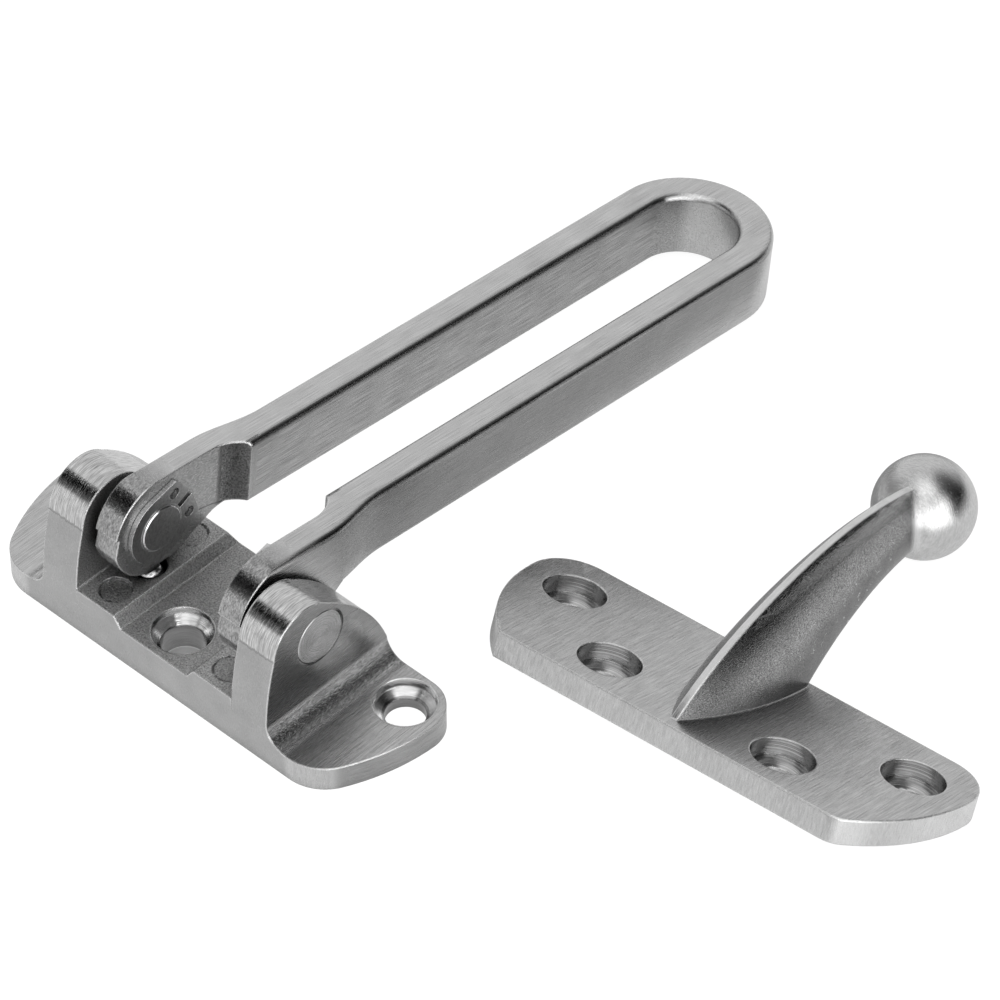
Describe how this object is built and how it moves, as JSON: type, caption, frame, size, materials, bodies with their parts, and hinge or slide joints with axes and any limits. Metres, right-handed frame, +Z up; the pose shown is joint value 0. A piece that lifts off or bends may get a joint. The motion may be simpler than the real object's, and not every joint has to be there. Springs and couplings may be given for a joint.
{
  "type": "swing-bar door guard",
  "caption": "Swing-bar door guard in satin nickel: a hinge bracket with a slotted swinging bar, and a separate ball keeper on a screw plate.",
  "frame": {"origin": "centre of the hinge bracket's flat underside", "axes": "+X along the hinge pins, +Y from the bracket towards the bar's closed end, +Z up, square to the bracket's underside"},
  "size_m": [0.1444, 0.1294, 0.0262],
  "materials": {
    "bracket_nickel": "satin nickel over a cast bracket, brushed on its tabs and grainy in its channel",
    "bar_nickel": "satin nickel, brushed along the arms",
    "keeper_nickel": "satin nickel, brushed across the plate, with a polished ball",
    "pin_steel": "turned steel, flush with the ear",
    "ring_steel": "dark stamped spring steel",
    "ball_steel": "polished bearing ball",
    "spring_steel": "drawn spring wire"
  },
  "bodies": {
    "root": {"base": "bracket_nickel", "keeper": "keeper_nickel", "hinge_pin_left": "pin_steel", "retaining_ring_left": "ring_steel", "detent_spring_left": "spring_steel", "hinge_pin_right": "pin_steel", "retaining_ring_right": "ring_steel", "detent_spring_right": "spring_steel"},
    "bar": {"swing_bar": "bar_nickel"},
    "ball_left": {"detent_ball_left": "ball_steel"},
    "ball_right": {"detent_ball_right": "ball_steel"}
  },
  "joints": [
    {"name": "bar_swing", "type": "hinge", "parent": "root", "child": "bar", "pos_m": [0, -0.001, 0.0177], "axis": [1, 0, 0], "range_deg": [0, 187]},
    {"name": "detent_left", "type": "slide", "parent": "root", "child": "ball_left", "axis": [0, 0, 1], "range_m": [-0.0008, 0], "stiffness_N_per_m": 3000, "deforming": ["detent_spring_left"]},
    {"name": "detent_right", "type": "slide", "parent": "root", "child": "ball_right", "axis": [0, 0, 1], "range_m": [-0.0008, 0], "stiffness_N_per_m": 3000, "deforming": ["detent_spring_right"]}
  ]
}
